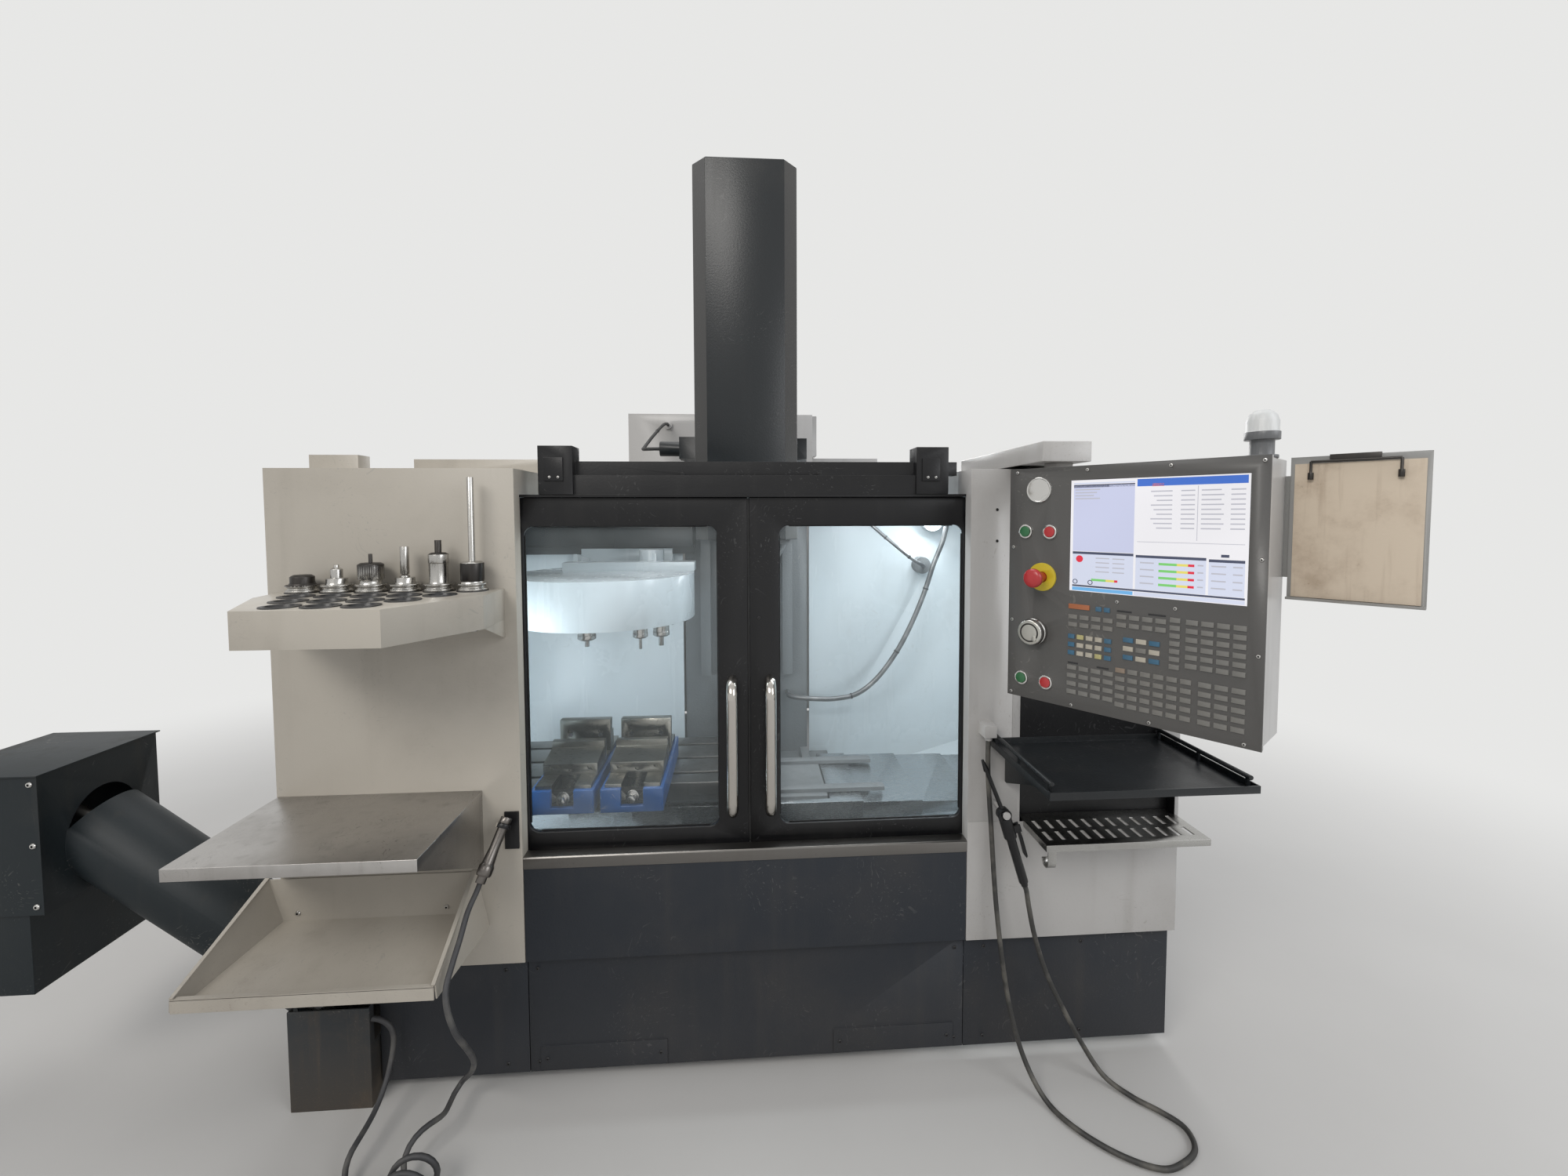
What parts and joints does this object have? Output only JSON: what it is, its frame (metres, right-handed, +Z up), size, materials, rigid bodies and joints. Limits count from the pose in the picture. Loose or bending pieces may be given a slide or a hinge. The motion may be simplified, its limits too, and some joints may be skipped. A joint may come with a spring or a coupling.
{
  "type": "cnc machining center",
  "caption": "Enclosed vertical machining centre with sliding doors, umbrella tool changer, twin vises, inclined chip auger and a swivelling control pendant.",
  "frame": {"origin": "centre of the footprint on the floor", "axes": "+X to the operator's right, +Y away from the operator, +Z up and normal to the machine table"},
  "size_m": [2.948, 2.3552, 2.535],
  "materials": {
    "cast_grey": "painted, worn",
    "foot_steel": "dull",
    "dark_sheet": "textured dark blue-grey paint, scuffed",
    "stainless": "brushed",
    "cream_paint": "semi-gloss, stained",
    "white_paint": "semi-gloss, scuffed",
    "liner_paint": "gloss, wet",
    "black_paint": "satin black",
    "window": "clear, slightly fogged",
    "polished_steel": "polished",
    "head_iron": "painted",
    "spindle_steel": "ground",
    "charcoal_paint": "satin, dusty",
    "table_iron": "machined",
    "vise_blue": "gloss blue",
    "vise_iron": "machined, oily",
    "disc_alloy": "machined",
    "auger_paint": "satin dark blue-grey",
    "panel_film": "grey keypad film",
    "display": "lit screen with plain colour areas",
    "red_plastic": "moulded",
    "green_plastic": "moulded",
    "knob_alloy": "turned",
    "beacon_plastic": "frosted",
    "aged_paper": "yellowed sheets on a board",
    "gun_body": "moulded, worn",
    "wash_alloy": "dull",
    "hose_rubber": "dusty",
    "conduit_steel": "corrugated"
  },
  "bodies": {
    "frame": {"base_casting": "cast_grey", "levelling_feet": "foot_steel", "front_skirts": "dark_sheet", "sill": "stainless", "left_housing": "cream_paint", "right_housing": "white_paint", "liner": "liner_paint", "door_rail": "black_paint", "column": "cast_grey", "rear_cabinet": "white_paint", "auger_tube": "auger_paint", "coolant_tank": "auger_paint", "pendant_arm": "white_paint", "work_tray": "charcoal_paint", "perforated_shelf": "stainless", "air_gun": "gun_body", "air_hose": "hose_rubber", "wash_gun": "wash_alloy", "wash_hose": "hose_rubber", "wash_coil": "hose_rubber", "tool_shelf": "cream_paint", "rack_tools": "spindle_steel", "left_table": "stainless", "left_tray": "cream_paint", "conduit": "conduit_steel"},
    "left_door": {"left_door": "black_paint", "left_window": "window", "left_handle": "polished_steel"},
    "right_door": {"right_door": "black_paint", "right_window": "window", "right_handle": "polished_steel"},
    "saddle": {"saddle": "cast_grey", "way_covers": "stainless"},
    "table": {"table": "table_iron", "vise_bases": "vise_blue", "vise_bodies": "vise_iron"},
    "left_vise_jaw": {"left_vise_jaw": "vise_iron"},
    "right_vise_jaw": {"right_vise_jaw": "vise_iron"},
    "left_vise_screw": {"left_vise_screw": "spindle_steel"},
    "right_vise_screw": {"right_vise_screw": "spindle_steel"},
    "head": {"z_head": "head_iron", "head_cover": "charcoal_paint"},
    "spindle": {"spindle": "spindle_steel"},
    "changer_carriage": {"carousel_carriage": "liner_paint"},
    "carousel": {"carousel_disc": "disc_alloy", "carousel_tools": "spindle_steel"},
    "cabinet_door": {"cabinet_door": "white_paint"},
    "auger_screw": {"auger_screw": "spindle_steel"},
    "pendant": {"pendant_housing": "white_paint", "pendant_panel": "panel_film", "screen": "display", "beacon": "beacon_plastic", "sheet_holder": "aged_paper"},
    "stop_button": {"stop_button": "red_plastic"},
    "power_on_button": {"power_on_button": "green_plastic"},
    "power_off_button": {"power_off_button": "red_plastic"},
    "start_button": {"start_button": "green_plastic"},
    "hold_button": {"hold_button": "red_plastic"},
    "jog_knob": {"jog_knob": "knob_alloy"},
    "air_gun_trigger": {"air_gun_trigger": "black_paint"}
  },
  "joints": [
    {"name": "left_door_slide", "type": "slide", "parent": "frame", "child": "left_door", "axis": [-1, 0, 0], "range_m": [0, 0.47]},
    {"name": "right_door_slide", "type": "slide", "parent": "frame", "child": "right_door", "axis": [1, 0, 0], "range_m": [0, 0.47]},
    {"name": "saddle_y", "type": "slide", "parent": "frame", "child": "saddle", "axis": [0, 1, 0], "range_m": [-0.083, 0.302]},
    {"name": "table_x", "type": "slide", "parent": "saddle", "child": "table", "axis": [1, 0, 0], "range_m": [-0.005, 0.757]},
    {"name": "left_jaw_slide", "type": "slide", "parent": "table", "child": "left_vise_jaw", "axis": [0, 1, 0], "range_m": [-0.04, 0.058]},
    {"name": "right_jaw_slide", "type": "slide", "parent": "table", "child": "right_vise_jaw", "axis": [0, 1, 0], "range_m": [-0.04, 0.058]},
    {"name": "left_screw_turn", "type": "hinge", "parent": "table", "child": "left_vise_screw", "pos_m": [-0.1315, -0.28439, 0.651], "axis": [0, 1, 0], "continuous": true},
    {"name": "right_screw_turn", "type": "hinge", "parent": "table", "child": "right_vise_screw", "pos_m": [0.0535, -0.28439, 0.651], "axis": [0, 1, 0], "continuous": true},
    {"name": "head_z", "type": "slide", "parent": "frame", "child": "head", "axis": [0, 0, 1], "range_m": [-0.475, 0]},
    {"name": "spindle_turn", "type": "hinge", "parent": "head", "child": "spindle", "pos_m": [0.3705, 0.05561, 1.4], "axis": [0, 0, 1], "continuous": true},
    {"name": "changer_slide", "type": "slide", "parent": "frame", "child": "changer_carriage", "axis": [1, 0, 0], "range_m": [0, 0.226]},
    {"name": "carousel_turn", "type": "hinge", "parent": "changer_carriage", "child": "carousel", "pos_m": [-0.1105, 0.05561, 1.11], "axis": [0, 0, 1], "continuous": true},
    {"name": "cabinet_door_hinge", "type": "hinge", "parent": "frame", "child": "cabinet_door", "pos_m": [-0.1975, 1.16361, 1.2], "axis": [0, 0, 1], "range_deg": [0, 100]},
    {"name": "auger_turn", "type": "hinge", "parent": "frame", "child": "auger_screw", "pos_m": [-0.7215, -0.47239, 0.259], "axis": [-0.788, 0, 0.6157], "continuous": true},
    {"name": "pendant_swivel", "type": "hinge", "parent": "frame", "child": "pendant", "pos_m": [1.0735, -0.70239, 1.54], "axis": [0, 0, 1], "range_deg": [-50, 45]},
    {"name": "stop_press", "type": "slide", "parent": "pendant", "child": "stop_button", "axis": [-0.7986, -0.6018, 0], "range_m": [-0.005, 0], "stiffness_N_per_m": 800},
    {"name": "power_on_press", "type": "slide", "parent": "pendant", "child": "power_on_button", "axis": [-0.7986, -0.6018, 0], "range_m": [-0.004, 0], "stiffness_N_per_m": 500},
    {"name": "power_off_press", "type": "slide", "parent": "pendant", "child": "power_off_button", "axis": [-0.7986, -0.6018, 0], "range_m": [-0.004, 0], "stiffness_N_per_m": 500},
    {"name": "start_press", "type": "slide", "parent": "pendant", "child": "start_button", "axis": [-0.7986, -0.6018, 0], "range_m": [-0.004, 0], "stiffness_N_per_m": 500},
    {"name": "hold_press", "type": "slide", "parent": "pendant", "child": "hold_button", "axis": [-0.7986, -0.6018, 0], "range_m": [-0.004, 0], "stiffness_N_per_m": 500},
    {"name": "jog_turn", "type": "hinge", "parent": "pendant", "child": "jog_knob", "pos_m": [0.98926, -0.77339, 1.159], "axis": [-0.7986, -0.6018, 0], "continuous": true},
    {"name": "trigger_pull", "type": "hinge", "parent": "frame", "child": "air_gun_trigger", "pos_m": [1.01585, -0.64639, 0.65505], "axis": [0, 1, 0], "range_deg": [0, 6], "stiffness_Nm_per_rad": 0.6}
  ],
  "couplings": [
    {"joint": "left_screw_turn", "follows": "left_jaw_slide", "rad_per_m": 1256.6},
    {"joint": "right_screw_turn", "follows": "right_jaw_slide", "rad_per_m": 1256.6}
  ]
}
